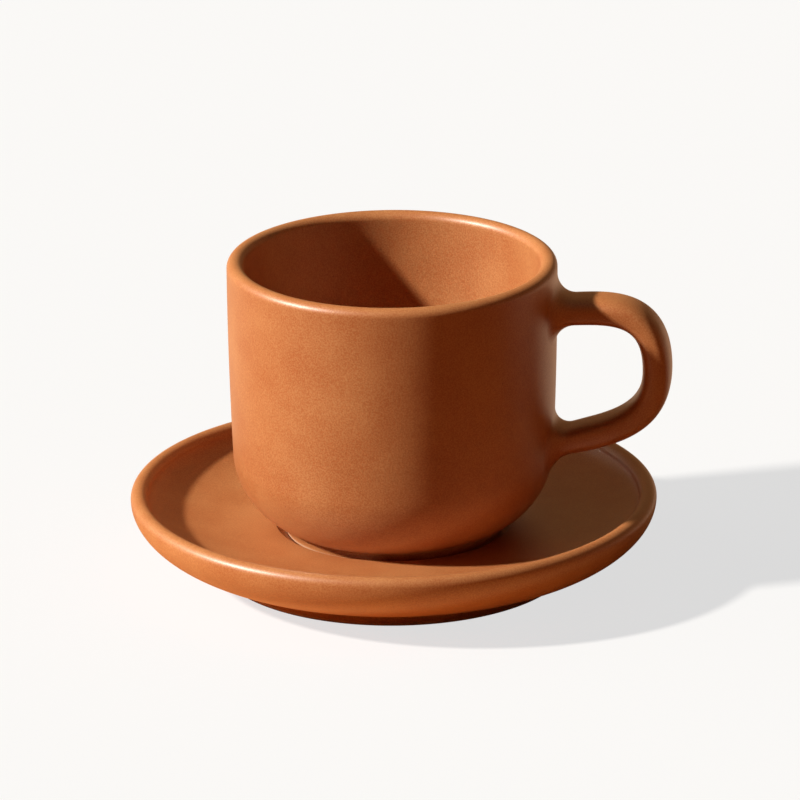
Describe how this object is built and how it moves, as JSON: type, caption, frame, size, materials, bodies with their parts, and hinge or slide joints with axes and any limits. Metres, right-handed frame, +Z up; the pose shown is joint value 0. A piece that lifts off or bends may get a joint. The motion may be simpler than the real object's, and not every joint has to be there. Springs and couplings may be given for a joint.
{
  "type": "cup and saucer",
  "caption": "Stoneware coffee cup with rounded base and looped handle, standing in the sunk seat of a deep-rimmed saucer; satin terracotta glaze.",
  "frame": {"origin": "on the table, at the middle of the saucer's foot ring, which is the axis of the saucer and of the cup", "axes": "+Z up along the axis of the cup and the saucer, +X from that axis towards the handle, +Y across the handle"},
  "size_m": [0.1405, 0.1366, 0.0834],
  "materials": {
    "saucer_glaze": "satin terracotta glaze over stoneware, bare clay on the foot ring",
    "cup_glaze": "satin terracotta glaze over stoneware, bare clay on the foot ring",
    "handle_glaze": "satin terracotta glaze over stoneware"
  },
  "bodies": {
    "saucer": {"saucer": "saucer_glaze"},
    "cup": {"cup_body": "cup_glaze", "handle": "handle_glaze"}
  },
  "joints": [
    {"name": "cup_lift", "type": "slide", "parent": "saucer", "child": "cup", "axis": [0, 0, 1], "range_m": [0, 0.08]}
  ]
}
